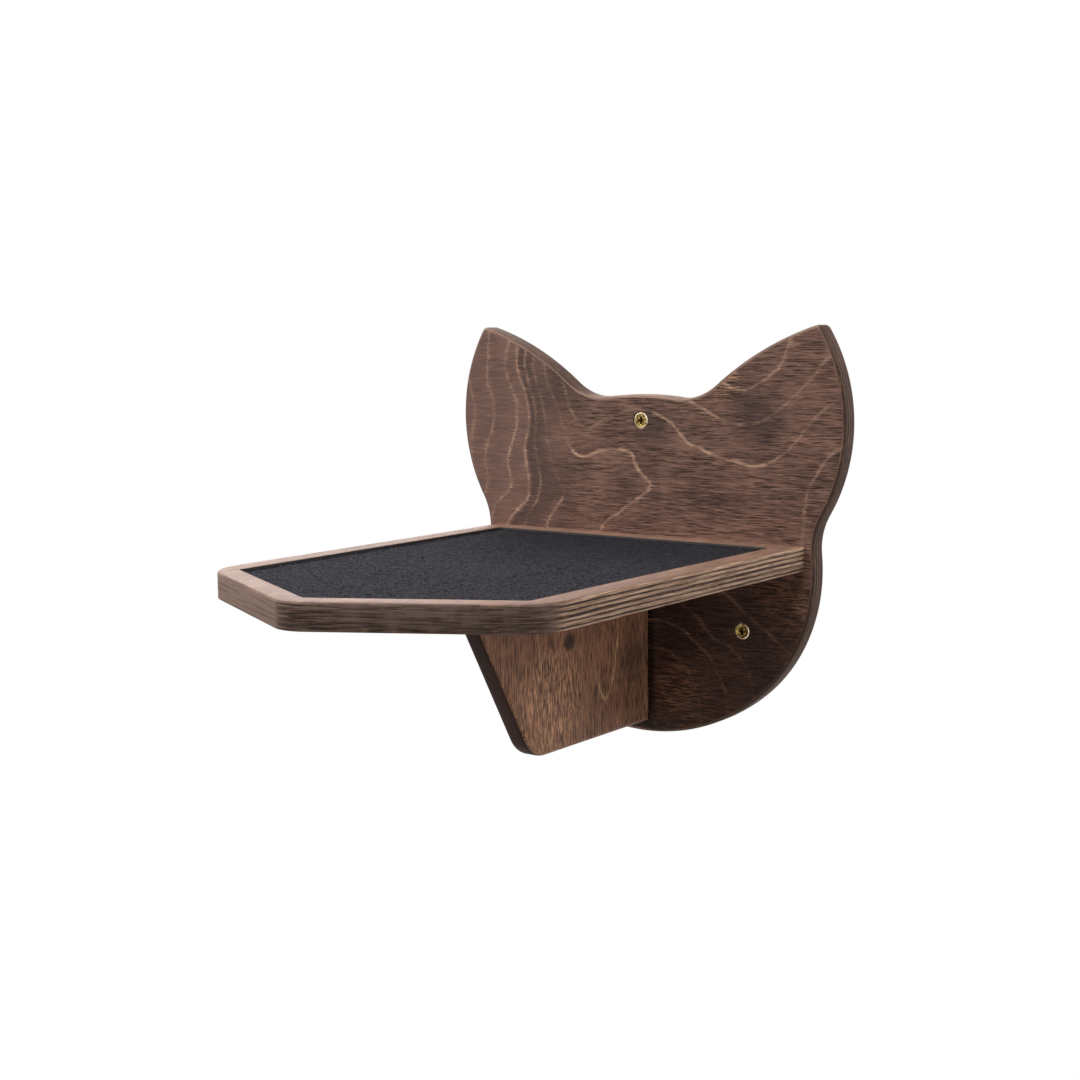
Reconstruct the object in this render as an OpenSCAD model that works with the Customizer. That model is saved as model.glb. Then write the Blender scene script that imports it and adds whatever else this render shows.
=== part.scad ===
// Cat wall shelf: a cat-head back plate, a pointed shelf board with a carpet let into it, and one bracket.
// Millimetres. X runs to the right seen from the front, +Y into the wall, +Z up.
// The origin is the centre of the wall screws' circle, on the wall.

/* [Shelf board] */
// Width of the shelf across its two sides
shelf_w = 218; // [170:1:300]
// Length of the straight sides, from the back plate forwards
side_l = 244; // [190:1:320]
// How far the pointed front reaches past the sides
point_l = 58; // [25:1:90]
// Thickness of the shelf board
shelf_t = 14; // [12:0.5:24]
// Corner radius at the front point
point_r = 20; // [6:1:40]
// Corner radius at the two front shoulders
shoulder_r = 30; // [6:1:40]

/* [Carpet] */
// Wooden border beside the carpet
side_border = 14; // [8:0.5:30]
// Wooden border behind the carpet
back_border = 14; // [8:0.5:30]
// Wooden border along the two front edges
front_border = 13; // [8:0.5:30]
// Thickness of the carpet
carpet_t = 3; // [2:0.5:5]
// How far the carpet lies below the border
carpet_sink = 1; // [0:0.25:2]
// Gap around the carpet in its recess
carpet_gap = 1; // [0.5:0.25:2]
// Corner radius left in the recess by the cutter
recess_r = 3; // [2:0.5:8]

/* [Hook and loop] */
// Length of a pad, front to back
pad_l = 60; // [30:1:80]
// Width of a pad
pad_w = 20; // [10:1:40]
// Thickness of a pad
pad_t = 0.6; // [0.4:0.1:1]
// Distance of the pads from the recess's sides
pad_side = 18; // [5:1:30]
// Distance of the back pads from the recess's back
pad_back = 18; // [5:1:40]
// Distance of the front pads from the ends of the recess's straight sides
pad_front = 18; // [5:1:40]

/* [Back plate] */
// Thickness of the back plate
plate_t = 12; // [9:0.5:18]
// Width across the cheeks
cheek_w = 231; // [224:1:260]
// Radius of the cheeks
cheek_r = 98; // [80:1:102]
// Depth of the cheeks' widest place below the shelf's top
cheek_drop = 15; // [8:0.5:20]
// Depth of the chin below the shelf's top
chin_drop = 119.5; // [116:0.5:135]
// Width across the ears
ear_w = 268; // [250:1:300]
// Radius of the ears' outer edges
ear_r = 100; // [85:1:125]
// Height of the ears' widest place above the shelf's top
ear_rise = 68.5; // [60:0.5:80]
// Radius of the necks between cheeks and ears
neck_r = 37; // [20:1:60]
// Height above the shelf's top where the ears' two edges would meet in a point
tip_rise = 124; // [115:0.5:135]
// Radius that rounds the ears' tips
tip_r = 3.5; // [2:0.5:6]
// Radius of the ears' inner edges
inner_r = 185; // [140:5:260]
// Distance between the two lowest places of the top edge
notch_gap = 57; // [50:1:70]
// Height of those places above the shelf's top
notch_rise = 81.5; // [76:0.5:86]
// Radius of the hollows there
notch_r = 36; // [20:1:40]
// Rise of the top edge between them
dome_rise = 1.7; // [1:0.1:4]

/* [Bracket] */
// Thickness of the bracket
bracket_t = 12; // [10:0.5:18]
// Height of the bracket below the shelf
bracket_h = 98.5; // [85:0.5:102]
// Length of the bracket along the shelf
bracket_top_l = 175.5; // [160:0.5:220]
// Length of the bracket at its bottom
bracket_bottom_l = 117.5; // [90:0.5:150]
// Corner radius at its lower front
bracket_r = 22; // [3:0.5:30]

/* [Wall screws] */
// Circle that the three wall screws stand on
ring_d = 160; // [150:1:164]
// Depth of that circle's centre below the shelf's top
ring_drop = 12; // [8:0.5:20]
// Thread diameter of a wall screw
wall_screw_d = 5; // [4:0.5:6]
// Shank diameter of a wall screw under its head
wall_shank_d = 3.8; // [3:0.1:3.8]
// Head diameter of a wall screw
wall_head_d = 9.7; // [8:0.1:12]
// Length of a wall screw
wall_screw_l = 50; // [40:5:80]

/* [Wood screws] */
// Thread diameter of a wood screw
wood_screw_d = 4; // [3:0.5:5]
// Shank diameter of a wood screw under its head
wood_shank_d = 2.8; // [2:0.1:2.8]
// Head diameter of a wood screw
wood_head_d = 7.8; // [7:0.1:10]
// Length of the screws that go through the back plate
plate_screw_l = 50; // [35:5:70]
// Length of the screws that go through the shelf
deck_screw_l = 40; // [30:5:60]
// Spacing of the screws into the shelf's back edge
shelf_screw_pitch = 56; // [40:1:60]
// Depth of the bracket's upper screw below the shelf
bracket_screw_drop = 25; // [15:1:35]
// Spacing of the bracket's two screws
bracket_screw_gap = 45; // [30:1:50]
// Distance of the deck screws from the back plate to the first
deck_screw_back = 65; // [60:1:80]
// Spacing of the two deck screws
deck_screw_gap = 70; // [40:1:75]
// Length of the cross in a screw's head
cross_l = 4.6; // [3:0.1:6]
// Width of the cross's arms
cross_w = 1.2; // [0.8:0.1:1.5]
// Depth of the cross
cross_depth = 1.6; // [1:0.1:2]
// Straight rim of a screw's head
rim_t = 0.4; // [0.2:0.1:0.8]
// Length of a screw's point
screw_point_l = 6; // [3:0.5:9]

/* [Clearances] */
// Room around a thread in a hole that it passes through
hole_room = 0.25; // [0.1:0.05:0.5]
// Room around a thread in a hole that it grips
pilot_room = 0.05; // [0.02:0.01:0.1]
// Room around a head in its countersink
seat_room = 0.05; // [0.02:0.01:0.2]
// How far a head lies below the face it is sunk in
head_sink = 0.3; // [0.1:0.1:0.6]
// Depth of a blind hole past a screw's point
hole_over = 1; // [0.5:0.5:3]

/* [Hidden] */
$fn = 48;
arc_error = 0.02;
same_point = 0.001;
cut = 1;
shelf_screws = 4;
pads = 4;
WALL_SCREWS = ["top", "left", "right"];
BRACKET_SCREWS = ["upper", "lower"];
DECK_SCREWS = ["back", "front"];
walnut = [0.36, 0.25, 0.21];
charcoal = [0.16, 0.16, 0.18];
yellow_zinc = [0.78, 0.68, 0.36];
webbing = [0.09, 0.09, 0.1];

// Heights
shelf_top = ring_drop;
shelf_bottom = shelf_top - shelf_t;
recess_depth = carpet_sink + carpet_t + 2 * pad_t;
floor_z = shelf_top - recess_depth;
floor_t = shelf_t - recess_depth;
loop_z = floor_z + pad_t;
carpet_z = loop_z + pad_t;

// Plan of the shelf
half_w = shelf_w / 2;
shoulder_y = -plate_t - side_l;
tip_y = shoulder_y - point_l;
front_a = atan(point_l / half_w);

// Circles of the plate's outline, each one tangent to the next
cheek_c = [cheek_w / 2 - cheek_r, shelf_top - cheek_drop];
chin_z = shelf_top - chin_drop;
cheek_rise = cheek_c[1] - chin_z;
chin_r = (pow(cheek_c[0], 2) + pow(cheek_rise, 2) - pow(cheek_r, 2)) / (2 * (cheek_rise - cheek_r));
chin_c = [0, chin_z + chin_r];
ear_c = [ear_w / 2 - ear_r, shelf_top + ear_rise];
neck_c = meet(cheek_c, cheek_r + neck_r, ear_c, ear_r + neck_r);
notch_c = [notch_gap / 2, shelf_top + notch_rise + notch_r];
dome_z = shelf_top + notch_rise + dome_rise;
notch_over = notch_c[1] - dome_z;
dome_r = (pow(notch_c[0], 2) + pow(notch_over, 2) - pow(notch_r, 2)) / (2 * (notch_r - notch_over));
dome_c = [0, dome_z - dome_r];
tip_z = shelf_top + tip_rise;
tip_p = [ear_c[0] + sqrt(pow(ear_r, 2) - pow(tip_z - ear_c[1], 2)), tip_z];
inner_c = meet(notch_c, notch_r + inner_r, tip_p, inner_r);
tip_c = meet(inner_c, inner_r - tip_r, ear_c, ear_r - tip_r);

// The point at distance ra from a and rb from b, to the right of the way from a to b
function meet(a, ra, b, rb) =
    let (
        d = norm(b - a),
        u = (b - a) / d,
        along = (ra * ra - rb * rb + d * d) / (2 * d),
        across = sqrt(ra * ra - along * along)
    ) a + along * u + across * [u[1], -u[0]];

// The direction from a to b, in degrees
function heading(a, b) = atan2(b[1] - a[1], b[0] - a[0]);

// Points along an arc, the shorter way round from angle a0 to angle a1
function arc(c, r, a0, a1) =
    let (
        turn = (a1 - a0 + 540) % 360 - 180,
        step = 2 * acos(1 - arc_error / r),
        n = max(2, ceil(abs(turn) / step))
    ) [for (i = [0:n]) c + r * [cos(a0 + turn * i / n), sin(a0 + turn * i / n)]];

// A polygon's outline with each corner rounded by its own radius
function rounded(points, radii) =
    let (n = len(points)) [
        for (i = [0:n - 1])
            let (
                p = points[i],
                a = points[(i + n - 1) % n] - p,
                b = points[(i + 1) % n] - p,
                ua = a / norm(a),
                ub = b / norm(b),
                half = acos(ua * ub) / 2,
                r = radii[i],
                c = p + (ua + ub) / norm(ua + ub) * r / sin(half)
            )
            each r == 0
                ? [p]
                : arc(c, r, heading(c, p + ua * r / tan(half)), heading(c, p + ub * r / tan(half)))
    ];

// The right half of the plate's outline, from the chin up and over the ear to the middle
half_plate = concat(
    arc(chin_c, chin_r, -90, heading(chin_c, cheek_c)),
    arc(cheek_c, cheek_r, heading(chin_c, cheek_c), heading(cheek_c, neck_c)),
    arc(neck_c, neck_r, heading(neck_c, cheek_c), heading(neck_c, ear_c)),
    arc(ear_c, ear_r, heading(ear_c, neck_c), heading(ear_c, tip_c)),
    arc(tip_c, tip_r, heading(ear_c, tip_c), heading(inner_c, tip_c)),
    arc(inner_c, inner_r, heading(inner_c, tip_c), heading(inner_c, notch_c)),
    arc(notch_c, notch_r, heading(notch_c, inner_c), heading(notch_c, dome_c)),
    arc(dome_c, dome_r, heading(dome_c, notch_c), 90)
);
half_n = len(half_plate);

// Each joint of two arcs counts once, and so do the two points on the centre line
function unlike(points) = [
    for (i = [0:len(points) - 1])
        if (i == 0 || norm(points[i] - points[i - 1]) > same_point) points[i]
];
plate_outline = unlike(concat(
    half_plate,
    [for (i = [half_n - 2:-1:1]) [-half_plate[i][0], half_plate[i][1]]]
));

// The shelf's plan drawn in by a border at its sides, back and front edges
function home_plate(side, back, front) =
    let (
        x = half_w - side,
        y_back = -plate_t - back,
        y_tip = tip_y + front / cos(front_a),
        y_shoulder = y_tip + x * tan(front_a)
    ) [[-x, y_back], [-x, y_shoulder], [0, y_tip], [x, y_shoulder], [x, y_back]];

shelf_plan = rounded(home_plate(0, 0, 0), [0, shoulder_r, point_r, shoulder_r, 0]);
recess_corners = home_plate(side_border, back_border, front_border);
recess_radii = [for (corner = recess_corners) recess_r];
recess_plan = rounded(recess_corners, recess_radii);
carpet_plan = rounded(
    home_plate(side_border + carpet_gap, back_border + carpet_gap, front_border + carpet_gap),
    recess_radii
);
bracket_side = rounded(
    [
        [0, shelf_bottom],
        [bracket_top_l, shelf_bottom],
        [bracket_bottom_l, shelf_bottom - bracket_h],
        [0, shelf_bottom - bracket_h]
    ],
    [0, 0, bracket_r, 0]
);

// Places of the screws and pads
function wall_screw_at(i) = let (a = 90 + i * 120) ring_d / 2 * [cos(a), 0, sin(a)];
function shelf_screw_at(i) =
    [(i - (shelf_screws + 1) / 2) * shelf_screw_pitch, 0, shelf_bottom + floor_t / 2];
function bracket_screw_at(i) = [0, 0, shelf_bottom - bracket_screw_drop - i * bracket_screw_gap];
function deck_screw_at(i) = [0, -plate_t - deck_screw_back - i * deck_screw_gap, floor_z];
pad_x = recess_corners[4][0] - pad_side - pad_w / 2;
pad_back_y = recess_corners[4][1] - pad_back - pad_l / 2;
pad_front_y = recess_corners[3][1] + pad_front + pad_l / 2;
function pad_at(i) = [i % 2 == 1 ? -pad_x : pad_x, i <= 2 ? pad_back_y : pad_front_y, 0];

// A countersunk screw along +Z, its head's flat top at the origin, for a board of thickness t
module screw(d, shank_d, head_d, t, l) {
    cone_end = rim_t + (head_d - shank_d) / 2;
    thread_start = t - head_sink;
    shank_end = thread_start - (d - shank_d) / 2;
    difference() {
        rotate_extrude() polygon([
            [0, 0],
            [head_d / 2, 0],
            [head_d / 2, rim_t],
            [shank_d / 2, cone_end],
            [shank_d / 2, shank_end],
            [d / 2, thread_start],
            [d / 2, l - screw_point_l],
            [0, l]
        ]);
        for (turn = [0, 90])
            rotate([0, 0, turn])
                translate([-cross_l / 2, -cross_w / 2, -cut])
                    cube([cross_l, cross_w, cut + cross_depth]);
    }
}

// The countersunk hole for such a screw, through a board of thickness t, from a face at the origin
module countersunk_hole(d, head_d, t) {
    hole = d / 2 + hole_room;
    seat = head_d / 2 + seat_room;
    rim_end = head_sink + rim_t;
    rotate_extrude() polygon([
        [0, -cut],
        [seat, -cut],
        [seat, rim_end],
        [hole, rim_end + seat - hole],
        [hole, t + cut],
        [0, t + cut]
    ]);
}

// The blind hole that a screw's thread grips, from a face at depth t below the head's face
module pilot_hole(d, t, l) {
    translate([0, 0, t - cut])
        cylinder(h = head_sink + l - t + cut + hole_over, d = d + 2 * pilot_room);
}

// Turns what is drawn along +Z to point into the wall, out of it, or down
module into_wall() { rotate([-90, 0, 0]) children(); }
module out_of_wall() { rotate([90, 0, 0]) children(); }
module downwards() { rotate([180, 0, 0]) children(); }

module slab(plan, z, t) { translate([0, 0, z]) linear_extrude(t) polygon(plan); }

module back_plate() {
    color(walnut) difference() {
        out_of_wall() linear_extrude(plate_t) polygon(plate_outline);
        for (i = [0:len(WALL_SCREWS) - 1])
            translate(wall_screw_at(i) - [0, plate_t, 0])
                into_wall() countersunk_hole(wall_screw_d, wall_head_d, plate_t);
        for (i = [1:shelf_screws])
            translate(shelf_screw_at(i))
                out_of_wall() countersunk_hole(wood_screw_d, wood_head_d, plate_t);
        for (i = [0:len(BRACKET_SCREWS) - 1])
            translate(bracket_screw_at(i))
                out_of_wall() countersunk_hole(wood_screw_d, wood_head_d, plate_t);
    }
}

module shelf_board() {
    color(walnut) difference() {
        slab(shelf_plan, shelf_bottom, shelf_t);
        slab(recess_plan, floor_z, recess_depth + cut);
        for (i = [1:shelf_screws])
            translate(shelf_screw_at(i)) out_of_wall() pilot_hole(wood_screw_d, plate_t, plate_screw_l);
        for (i = [0:len(DECK_SCREWS) - 1])
            translate(deck_screw_at(i)) downwards() countersunk_hole(wood_screw_d, wood_head_d, floor_t);
    }
}

module support_bracket() {
    color(walnut) difference() {
        translate([bracket_t / 2, -plate_t, 0])
            rotate([90, 0, -90]) linear_extrude(bracket_t) polygon(bracket_side);
        for (i = [0:len(BRACKET_SCREWS) - 1])
            translate(bracket_screw_at(i)) out_of_wall() pilot_hole(wood_screw_d, plate_t, plate_screw_l);
        for (i = [0:len(DECK_SCREWS) - 1])
            translate(deck_screw_at(i)) downwards() pilot_hole(wood_screw_d, floor_t, deck_screw_l);
    }
}

module carpet_mat() {
    color(charcoal) slab(carpet_plan, carpet_z, carpet_t);
}

module wall_screw(i) {
    color(yellow_zinc)
        translate(wall_screw_at(i) - [0, plate_t - head_sink, 0])
            into_wall() screw(wall_screw_d, wall_shank_d, wall_head_d, plate_t, wall_screw_l);
}

module plate_screw(at) {
    color(yellow_zinc)
        translate(at - [0, head_sink, 0])
            out_of_wall() screw(wood_screw_d, wood_shank_d, wood_head_d, plate_t, plate_screw_l);
}

module deck_screw(i) {
    color(yellow_zinc)
        translate(deck_screw_at(i) - [0, 0, head_sink])
            downwards() screw(wood_screw_d, wood_shank_d, wood_head_d, floor_t, deck_screw_l);
}

module pad(i, z) {
    color(webbing)
        translate(pad_at(i) + [-pad_w / 2, -pad_l / 2, z]) cube([pad_w, pad_l, pad_t]);
}

back_plate();
shelf_board();
support_bracket();
carpet_mat();
for (i = [0:len(WALL_SCREWS) - 1])
    wall_screw(i);
for (i = [1:shelf_screws])
    plate_screw(shelf_screw_at(i));
for (i = [0:len(BRACKET_SCREWS) - 1])
    plate_screw(bracket_screw_at(i));
for (i = [0:len(DECK_SCREWS) - 1])
    deck_screw(i);
for (i = [1:pads])
    pad(i, floor_z);
for (i = [1:pads])
    pad(i, loop_z);
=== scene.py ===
import math

import bmesh
import bpy
import numpy as np
from mathutils import Matrix, Vector


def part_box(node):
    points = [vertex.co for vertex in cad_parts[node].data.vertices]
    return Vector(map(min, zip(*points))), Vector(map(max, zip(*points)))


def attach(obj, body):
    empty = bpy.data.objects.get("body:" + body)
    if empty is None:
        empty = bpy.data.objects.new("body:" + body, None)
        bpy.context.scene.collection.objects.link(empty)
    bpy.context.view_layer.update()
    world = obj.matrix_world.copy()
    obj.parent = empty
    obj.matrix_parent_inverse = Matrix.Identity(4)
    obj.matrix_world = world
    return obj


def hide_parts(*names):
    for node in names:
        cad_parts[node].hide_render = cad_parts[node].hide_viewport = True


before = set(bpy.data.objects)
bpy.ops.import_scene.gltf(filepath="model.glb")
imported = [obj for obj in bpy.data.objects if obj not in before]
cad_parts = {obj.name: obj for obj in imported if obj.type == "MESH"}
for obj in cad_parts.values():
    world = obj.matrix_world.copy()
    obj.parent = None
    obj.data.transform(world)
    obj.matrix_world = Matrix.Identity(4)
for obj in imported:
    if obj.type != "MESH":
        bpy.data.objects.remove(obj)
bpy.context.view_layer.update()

# Sizes in millimetres, the same as in the part's source
MM = 0.001
SHELF_TOP = 12
SHELF_T = 14
SHELF_W = 218
SIDE_L = 244
POINT_L = 58
POINT_R = 20
SHOULDER_R = 30
SIDE_BORDER = 14
BACK_BORDER = 14
FRONT_BORDER = 13
CARPET_T = 3
CARPET_SINK = 1
CARPET_GAP = 1
RECESS_R = 3
PAD_T = 0.6
PLATE_T = 12
CHEEK_W = 231
CHEEK_R = 98
CHEEK_DROP = 15
CHIN_DROP = 119.5
EAR_W = 268
EAR_R = 100
EAR_RISE = 68.5
NECK_R = 37
TIP_RISE = 124
TIP_R = 3.5
INNER_R = 185
NOTCH_GAP = 57
NOTCH_RISE = 81.5
NOTCH_R = 36
DOME_RISE = 1.7
BRACKET_T = 12
BRACKET_H = 98.5
BRACKET_TOP_L = 175.5
BRACKET_BOTTOM_L = 117.5
BRACKET_R = 22
RING_R = 80
WALL_SCREW_D = 5
WALL_HEAD_D = 9.7
WALL_SCREW_L = 50
WOOD_SCREW_D = 4
WOOD_HEAD_D = 7.8
PLATE_SCREW_L = 50
DECK_SCREW_L = 40
SCREW_POINT_L = 6
HEAD_SINK = 0.3
HOLE_ROOM = 0.25
SEAT_ROOM = 0.05
RIM_T = 0.4
SHELF_SCREW_X = (-84, -28, 28, 84)
SHELF_SCREW_Z = 2.4
BRACKET_SCREW_Z = (-27, -72)
DECK_SCREW_Y = (-77, -147)

# Sizes that only the finished look needs
PLATE_EASE = 1.8
SHELF_EASE = 1.2
UNDER_EASE = 0.5
BRACKET_EASE = 2.5
RECESS_EASE = 0.25
HOLE_EASE = 0.5
CARPET_EASE = 0.9
PAD_R = 2
PAD_EASE = 0.15
HEAD_DISH = 0.25
# How wide the head's rim is that takes the paler zinc, partly rubbed wear and partly painted highlight
RUBBED_AND_HIGHLIT_RIM = 0.8
CHORD_ERROR = 0.015
LATHE_STEPS = 48
THREAD_STEPS = 24
YEAR_SLACK = 10
YEAR_BLUR = 2
TUFT = 1.2
PILE = 2.2
SHELF_PLIES = 11
PLATE_PLIES = 9
BRACKET_PLIES = 9
# The shelf's plies lie this much lower than if they shared its thickness evenly
PLY_DROP = 0.4
# Where the boards with drawn year lines are cut into a grid that can carry them
YEAR_GRID = 3
PLATE_GRID = {"x": (-132, 134), "z": (-105, 136)}
BRACKET_GRID = {"y": (-186, -13), "z": (-99, -3)}
# How close counts as touching, and as being on the recess's rim or walls
TOUCH = 0.01
RIM_SLACK = 0.05
WALL_SLACK = 0.5
# How short a stroke counts as none, and how close points count as one or are joined, in metres
NO_STEP = 1e-7
SAME_POINT = 1e-6
WELD_GAP = 2e-6
MIRROR_GAP = 1e-5

SHELF_BOTTOM = SHELF_TOP - SHELF_T
FLOOR_Z = SHELF_TOP - CARPET_SINK - CARPET_T - 2 * PAD_T
CARPET_Z = FLOOR_Z + 2 * PAD_T
CARPET_TOP = CARPET_Z + CARPET_T
TIP_Y = -PLATE_T - SIDE_L - POINT_L
POINT_SLOPE = POINT_L / (SHELF_W / 2)


# Drawing with ruler and compass

# Each view gives where its two axes and its depth lie, and the axis that turns the first into the second
VIEWS = {
    "front": (lambda u, v, d: Vector((u, d, v)) * MM, (0, -1, 0)),
    "plan": (lambda u, v, d: Vector((u, v, d)) * MM, (0, 0, 1)),
    "side": (lambda u, v, d: Vector((d, u, v)) * MM, (1, 0, 0)),
}


class Pen:
    """Draws an outline in one view, with straight strokes and compass arcs, and leaves it in edit mode."""

    def __init__(self, view, depth, start):
        self.place, self.axis = VIEWS[view]
        self.depth = depth
        self.start = self.at = start
        leave_edit()
        bpy.ops.mesh.primitive_plane_add(size=MM)
        self.piece = bpy.context.object
        bpy.ops.object.mode_set(mode="EDIT")
        bpy.ops.mesh.select_mode(type="VERT")
        select_all()
        bpy.ops.mesh.merge(type="CENTER")
        bpy.ops.transform.translate(value=self.place(*start, depth))

    def line(self, to):
        step = self.place(*to, self.depth) - self.place(*self.at, self.depth)
        if step.length > NO_STEP:
            bpy.ops.mesh.extrude_vertices_move(TRANSFORM_OT_translate={"value": step})
        self.at = to

    def arc(self, centre, turn):
        radius = math.dist(centre, self.at)
        sector = 2 * math.degrees(math.acos(1 - CHORD_ERROR / radius))
        bpy.ops.mesh.spin(
            steps=max(2, math.ceil(abs(turn) / sector)),
            angle=-math.radians(turn),
            center=self.place(*centre, self.depth),
            axis=self.axis,
        )
        start = math.radians(heading(centre, self.at) + turn)
        self.at = (centre[0] + radius * math.cos(start), centre[1] + radius * math.sin(start))

    def close(self):
        self.line(self.start)
        select_all()
        bpy.ops.mesh.remove_doubles(threshold=SAME_POINT)
        select_all()
        bpy.ops.mesh.edge_face_add()
        return self.piece


def leave_edit():
    if bpy.context.object and bpy.context.object.mode == "EDIT":
        bpy.ops.object.mode_set(mode="OBJECT")
    bpy.ops.object.select_all(action="DESELECT")


def take(piece):
    leave_edit()
    piece.select_set(True)
    bpy.context.view_layer.objects.active = piece


def edit(piece):
    take(piece)
    bpy.ops.object.mode_set(mode="EDIT")


def select_all():
    bpy.ops.mesh.select_all(action="SELECT")


def face_outwards():
    select_all()
    bpy.ops.mesh.normals_make_consistent(inside=False)


def settle(piece):
    """Takes the piece's place, turn and scale into its mesh."""
    take(piece)
    bpy.ops.object.transform_apply(location=True, rotation=True, scale=True)
    return piece


def pick(piece, kind, test):
    """Selects the faces or edges of the piece in edit mode that pass the test."""
    bpy.ops.mesh.select_mode(type={"edges": "EDGE", "faces": "FACE"}[kind])
    bpy.ops.mesh.select_all(action="DESELECT")
    shape = bmesh.from_edit_mesh(piece.data)
    for part in getattr(shape, kind):
        part.select_set(bool(test(part)))
    shape.select_flush_mode()
    bmesh.update_edit_mesh(piece.data)


def heading(a, b):
    return math.degrees(math.atan2(b[1] - a[1], b[0] - a[0]))


def turn_between(a0, a1):
    return (a1 - a0 + 540) % 360 - 180


def meet(a, ra, b, rb):
    """The point ra from a and rb from b, to the right of the way from a to b."""
    a, b = Vector(a), Vector(b)
    way = (b - a).normalized()
    d = (b - a).length
    along = (ra * ra - rb * rb + d * d) / (2 * d)
    across = math.sqrt(ra * ra - along * along)
    return tuple(a + way * along + Vector((way.y, -way.x)) * across)


def draw_rounded(view, depth, corners, radii):
    """A closed outline through the corners, each one rounded by its own radius."""
    strokes = []
    for i, corner in enumerate(corners):
        p = Vector(corner)
        back = (Vector(corners[i - 1]) - p).normalized()
        on = (Vector(corners[(i + 1) % len(corners)]) - p).normalized()
        if not radii[i]:
            strokes.append((corner, None, 0))
            continue
        half = back.angle(on) / 2
        centre = p + (back + on).normalized() * radii[i] / math.sin(half)
        first = p + back * radii[i] / math.tan(half)
        last = p + on * radii[i] / math.tan(half)
        turn = turn_between(heading(centre, first), heading(centre, last))
        strokes.append((tuple(first), tuple(centre), turn))
    pen = Pen(view, depth, strokes[0][0])
    for first, centre, turn in strokes:
        pen.line(first)
        if centre:
            pen.arc(centre, turn)
    return pen.close()


def thicken(step):
    """Pulls the face that was just drawn out into a board."""
    select_all()
    bpy.ops.mesh.extrude_region_move(TRANSFORM_OT_translate={"value": Vector(step) * MM})
    face_outwards()


def ease_edges(piece, test, width, segments=3):
    """Rounds over the edges that pass the test."""
    edit(piece)
    pick(piece, "edges", test)
    bpy.ops.mesh.bevel(offset=width * MM, segments=segments, affect="EDGES", clamp_overlap=True)


def apply_modifier(piece, kind, **settings):
    take(piece)
    bpy.ops.object.modifier_add(type=kind)
    made = piece.modifiers[-1]
    for key, value in settings.items():
        setattr(made, key, value)
    bpy.ops.object.modifier_apply(modifier=made.name)


def weld(piece):
    """Merges points that lie on one another and turns the faces outwards."""
    edit(piece)
    select_all()
    bpy.ops.mesh.remove_doubles(threshold=WELD_GAP)
    face_outwards()
    leave_edit()


def lathe(start, profile):
    """Spins a profile, drawn as distances from +Z and along it, into a closed piece."""
    pen = Pen("side", 0, start)
    for to in profile:
        pen.line(to)
    select_all()
    bpy.ops.mesh.spin(steps=LATHE_STEPS, angle=2 * math.pi, center=(0, 0, 0), axis=(0, 0, 1))
    weld(pen.piece)
    return pen.piece


def carve(piece, cutter):
    apply_modifier(piece, "BOOLEAN", operation="DIFFERENCE", object=cutter, solver="EXACT")
    bpy.data.objects.remove(cutter)
    weld(piece)


def join(pieces):
    take(pieces[0])
    for other in pieces[1:]:
        other.select_set(True)
    bpy.ops.object.join()
    return pieces[0]


def copy_to(piece, place):
    """A copy with its own mesh, carried to its place, which is then in the mesh."""
    take(piece)
    bpy.ops.object.duplicate(linked=False)
    made = bpy.context.object
    made.matrix_world = place
    return settle(made)


def slice_grid(piece, grid, step):
    """Cuts the piece at even steps along each axis of the grid, so that it can carry a fine pattern."""
    edit(piece)
    for axis, (low, high) in grid.items():
        normal = Vector((0, 0, 0))
        normal["xyz".index(axis)] = 1
        for k in range(math.ceil((high - low) / step)):
            select_all()
            bpy.ops.mesh.bisect(plane_co=normal * (low + k * step) * MM, plane_no=normal)


def dress(piece, finishes, choose=lambda at, normal: 0, crease=35):
    """Puts the finishes on the piece, each face by what choose says of its centre and normal.

    It is shaded smooth apart from edges sharper than the crease."""
    take(piece)
    piece.data.materials.clear()
    for finish in finishes:
        piece.data.materials.append(finish)
    for face in piece.data.polygons:
        face.material_index = choose(face.center / MM, face.normal)
    bpy.ops.object.shade_smooth_by_angle(angle=math.radians(crease))
    return piece


# Nodes of the finishes

def colour(*levels):
    """A colour as seen on a screen, 0 to 255, as the light that it stands for."""
    seen = [c / 255 for c in levels]
    return (*(c / 12.92 if c <= 0.04045 else ((c + 0.055) / 1.055) ** 2.4 for c in seen), 1)


# How strongly a finish mirrors, and its roughness from the smoothest to the roughest spot
SATIN = (0.14, 0.46, 0.6)
OILED = (0.24, 0.46, 0.6)
SANDED = (0.13, 0.5, 0.62)


class Nodes:
    """The nodes of a material or of the world, laid one after another."""

    def __init__(self, owner):
        owner.use_nodes = True
        self.tree = owner.node_tree
        self.tree.nodes.clear()

    def add(self, kind, inputs=(), **settings):
        made = self.tree.nodes.new("ShaderNode" + kind)
        made.location = (200 * len(self.tree.nodes), 0)
        for key, value in settings.items():
            setattr(made, key, value)
        for key, value in dict(inputs).items():
            if isinstance(value, bpy.types.NodeSocket):
                self.tree.links.new(value, made.inputs[key])
            else:
                made.inputs[key].default_value = value
        return made

    def math(self, operation, *values):
        return self.add("Math", dict(enumerate(values)), operation=operation).outputs[0]

    def ramp(self, value, low, high, to_low=0.0, to_high=1.0):
        """Takes low to high over to to_low to to_high, softly, and holds outside them."""
        inputs = {"Value": value, "From Min": low, "From Max": high, "To Min": to_low, "To Max": to_high}
        return self.add("MapRange", inputs, interpolation_type="SMOOTHSTEP").outputs["Result"]

    def seen(self):
        """1 for rays that the camera, a mirror or glass sees, 0 for light that falls on the object."""
        rays = self.add("LightPath").outputs
        direct = self.math("MAXIMUM", rays["Is Camera Ray"], rays["Is Glossy Ray"])
        return self.math("MAXIMUM", direct, rays["Is Transmission Ray"])

    def mix(self, share, first, second, output):
        mixed = self.add("MixShader", {0: share, 1: first.outputs[0], 2: second.outputs[0]})
        self.add(output, {"Surface": mixed.outputs[0]})


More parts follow.
